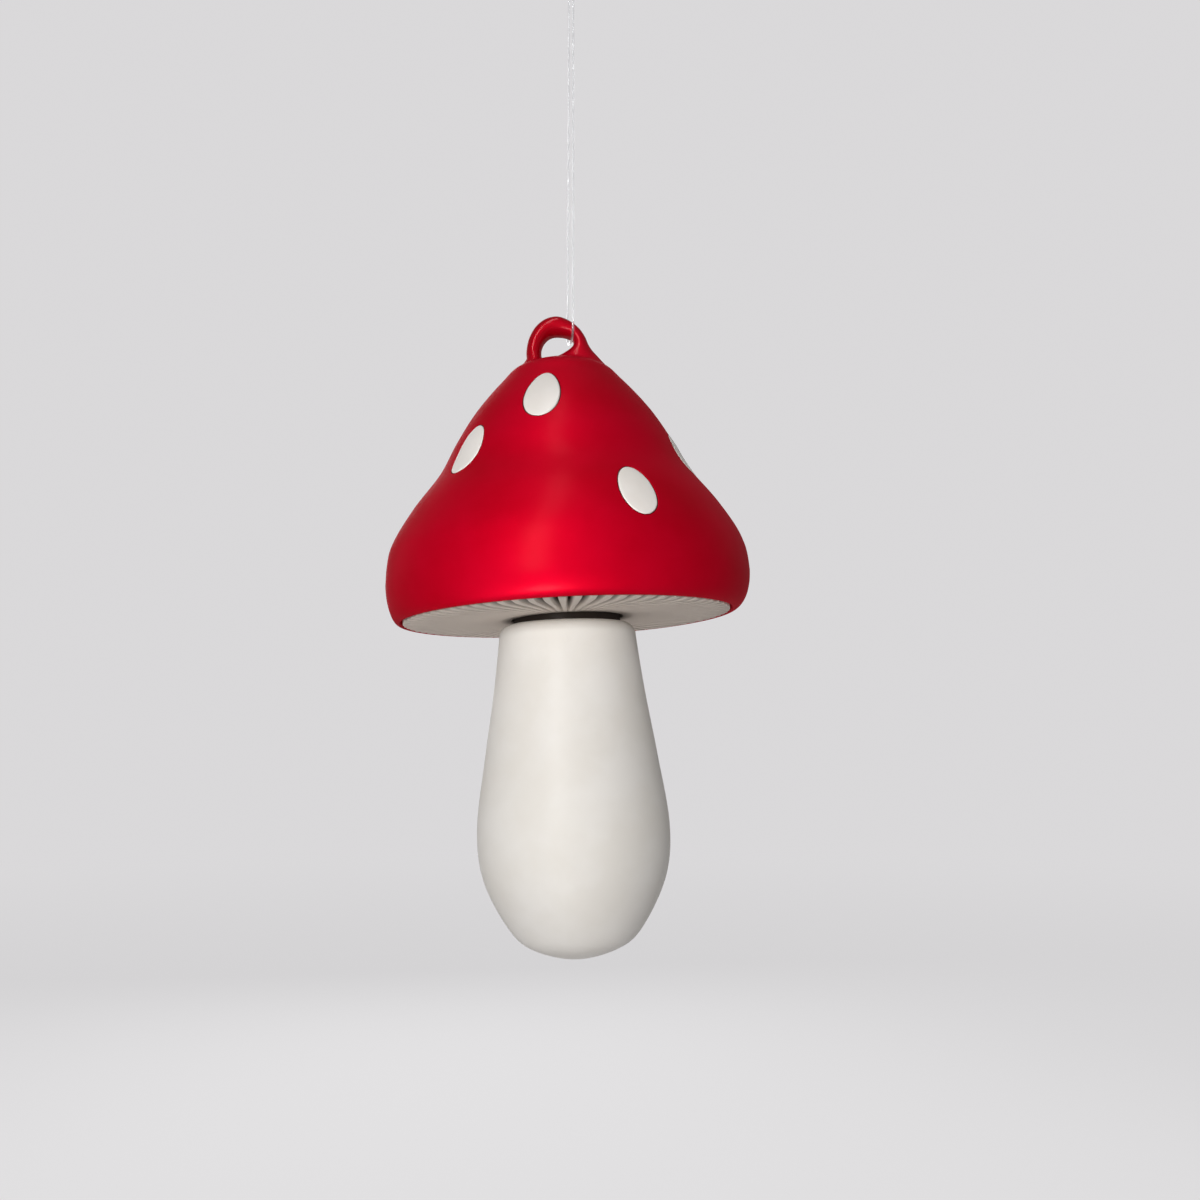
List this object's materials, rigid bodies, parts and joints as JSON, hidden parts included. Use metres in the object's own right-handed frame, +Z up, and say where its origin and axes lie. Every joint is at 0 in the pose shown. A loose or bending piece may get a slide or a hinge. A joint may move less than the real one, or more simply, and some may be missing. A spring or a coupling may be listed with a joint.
{
  "type": "hanging toadstool ornament",
  "caption": "Hanging resin toadstool: red bell cap with cream oval spots and a cast eye, gilled underside, pear-shaped stem, on a knotted clear line.",
  "frame": {"origin": "hanging point, at the inside of the top of the line's small loop", "axes": "+Z up along the taut line; -Y is the front, the side the picture shows; +X is right as seen from the front and runs along the eye's band"},
  "size_m": [0.058, 0.058, 0.1753],
  "materials": {
    "red_resin": "satin",
    "cream_resin": "matte",
    "clear_nylon": "gloss"
  },
  "bodies": {
    "loop": {"hanging_loop": "clear_nylon"},
    "knot": {"knot": "clear_nylon"},
    "line": {"thread": "clear_nylon"},
    "toadstool": {"cap": "red_resin", "eye": "red_resin", "gill_disc": "cream_resin", "stem": "cream_resin", "spot_1": "cream_resin", "spot_2": "cream_resin", "spot_3": "cream_resin", "spot_4": "cream_resin", "spot_5": "cream_resin", "spot_6": "cream_resin", "spot_7": "cream_resin", "spot_8": "cream_resin"}
  },
  "joints": [
    {"name": "line_twist", "type": "hinge", "parent": "loop", "child": "knot", "pos_m": [0, 0, -0.014], "axis": [0, 0, 1], "range_deg": [-180, 180]},
    {"name": "line_swing", "type": "hinge", "parent": "knot", "child": "line", "pos_m": [0, 0, -0.01605], "axis": [1, 0, 0], "range_deg": [-40, 40]},
    {"name": "eye_rock", "type": "hinge", "parent": "line", "child": "toadstool", "pos_m": [0, 0, -0.0766], "axis": [0, 1, 0], "range_deg": [-35, 35]}
  ]
}
